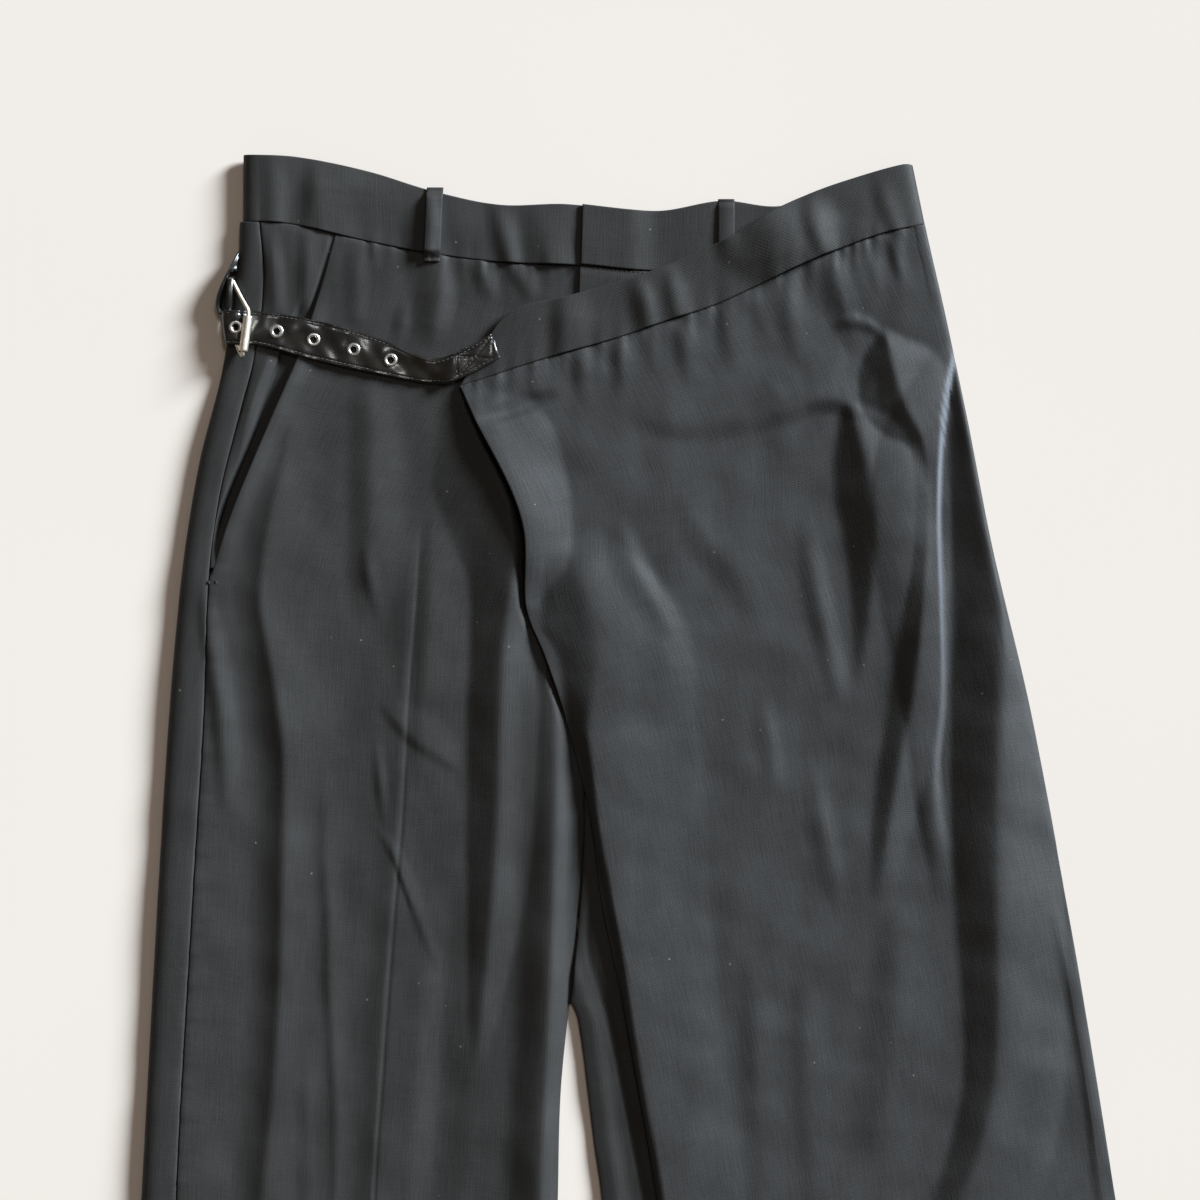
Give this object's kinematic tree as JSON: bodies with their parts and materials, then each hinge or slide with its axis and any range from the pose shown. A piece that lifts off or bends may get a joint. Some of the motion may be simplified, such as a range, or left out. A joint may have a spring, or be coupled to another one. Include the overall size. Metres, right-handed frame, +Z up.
{
  "type": "wrap trousers",
  "caption": "Dark wool trousers laid flat, front up, with a waistband, slanted pocket and fly, a wrap front panel and a leather strap fastened by a roller buckle at the hip",
  "frame": {"origin": "on the surface the garment lies on, under the middle of its outline", "axes": "+Y runs from the hems to the waist, +X to the wearer's left, which is the viewer's right, and +Z up from the surface to the front of the garment"},
  "size_m": [0.6811, 1.0979, 0.0154],
  "materials": {
    "cloth": "black wool twill with a soft sheen",
    "leather": "smooth black leather, satin",
    "eyelet_metal": "polished nickel",
    "buckle_metal": "pale satin nickel with a warm tone"
  },
  "bodies": {
    "root": {"back_right": "cloth", "back_left": "cloth", "hip_facing": "cloth", "front_right": "cloth", "front_left": "cloth", "waistband_right": "cloth", "waistband_left": "cloth", "belt_loop_right": "cloth", "belt_loop_left": "cloth", "wrap_panel": "cloth", "wrap_band": "cloth", "strap": "leather", "eyelet_1": "eyelet_metal", "eyelet_2": "eyelet_metal", "eyelet_3": "eyelet_metal", "eyelet_4": "eyelet_metal", "eyelet_5": "eyelet_metal", "buckle_frame": "buckle_metal", "buckle_roller": "buckle_metal", "side_tab": "leather"}
  },
  "joints": []
}
